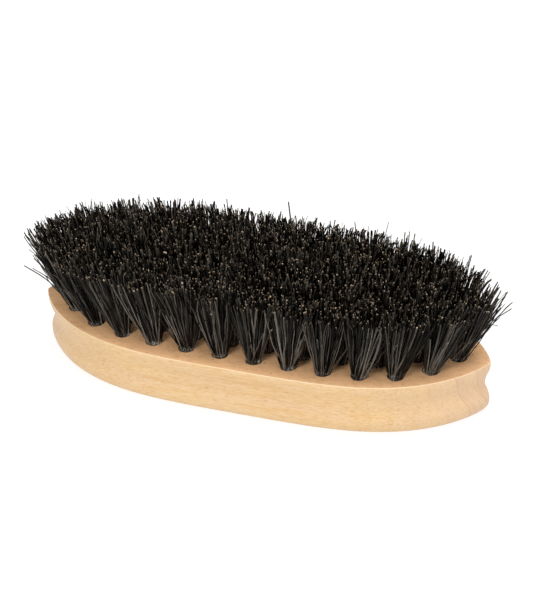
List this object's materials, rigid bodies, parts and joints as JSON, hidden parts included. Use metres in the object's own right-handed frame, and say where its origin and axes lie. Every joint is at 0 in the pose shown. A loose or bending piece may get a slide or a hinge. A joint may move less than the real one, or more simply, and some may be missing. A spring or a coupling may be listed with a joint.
{
  "type": "clothes brush",
  "caption": "Hand-held clothes brush: a pointed-oval beech block with a finger groove all round and tufts of stiff black fibre set in blind holes.",
  "frame": {"origin": "middle of the block's flat back, on its surface, which is z = 0", "axes": "+X along the block from tip to tip, +Y across it, +Z out of the flat back towards the bristle trim"},
  "size_m": [0.1926, 0.0662, 0.0515],
  "materials": {
    "beech": "sanded, with a thin clear coat of low gloss, fine grain along the block",
    "bristle_fibre": "stiff black-dyed natural fibre, satin, with paler brown cut ends",
    "anchor_wire": "bright flattened steel wire"
  },
  "bodies": {
    "root": {"wooden_block": "beech", "tuft_outer_01": "bristle_fibre", "tuft_outer_02": "bristle_fibre", "tuft_outer_03": "bristle_fibre", "tuft_outer_04": "bristle_fibre", "tuft_outer_05": "bristle_fibre", "tuft_outer_06": "bristle_fibre", "tuft_outer_07": "bristle_fibre", "tuft_outer_08": "bristle_fibre", "tuft_outer_09": "bristle_fibre", "tuft_outer_10": "bristle_fibre", "tuft_outer_11": "bristle_fibre", "tuft_outer_12": "bristle_fibre", "tuft_outer_13": "bristle_fibre", "tuft_outer_14": "bristle_fibre", "tuft_outer_15": "bristle_fibre", "tuft_outer_16": "bristle_fibre", "tuft_outer_17": "bristle_fibre", "tuft_outer_18": "bristle_fibre", "tuft_outer_19": "bristle_fibre", "tuft_outer_20": "bristle_fibre", "tuft_outer_21": "bristle_fibre", "tuft_outer_22": "bristle_fibre", "tuft_outer_23": "bristle_fibre", "tuft_outer_24": "bristle_fibre", "tuft_outer_25": "bristle_fibre", "tuft_outer_26": "bristle_fibre", "tuft_middle_01": "bristle_fibre", "tuft_middle_02": "bristle_fibre", "tuft_middle_03": "bristle_fibre", "tuft_middle_04": "bristle_fibre", "tuft_middle_05": "bristle_fibre", "tuft_middle_06": "bristle_fibre", "tuft_middle_07": "bristle_fibre", "tuft_middle_08": "bristle_fibre", "tuft_middle_09": "bristle_fibre", "tuft_middle_10": "bristle_fibre", "tuft_middle_11": "bristle_fibre", "tuft_middle_12": "bristle_fibre", "tuft_middle_13": "bristle_fibre", "tuft_middle_14": "bristle_fibre", "tuft_middle_15": "bristle_fibre", "tuft_middle_16": "bristle_fibre", "tuft_middle_17": "bristle_fibre", "tuft_middle_18": "bristle_fibre", "tuft_middle_19": "bristle_fibre", "tuft_middle_20": "bristle_fibre", "tuft_inner_01": "bristle_fibre", "tuft_inner_02": "bristle_fibre", "tuft_inner_03": "bristle_fibre", "tuft_inner_04": "bristle_fibre", "tuft_inner_05": "bristle_fibre", "tuft_inner_06": "bristle_fibre", "tuft_inner_07": "bristle_fibre", "tuft_inner_08": "bristle_fibre", "tuft_inner_09": "bristle_fibre", "tuft_inner_10": "bristle_fibre", "tuft_inner_11": "bristle_fibre", "tuft_inner_12": "bristle_fibre"}
  },
  "joints": []
}
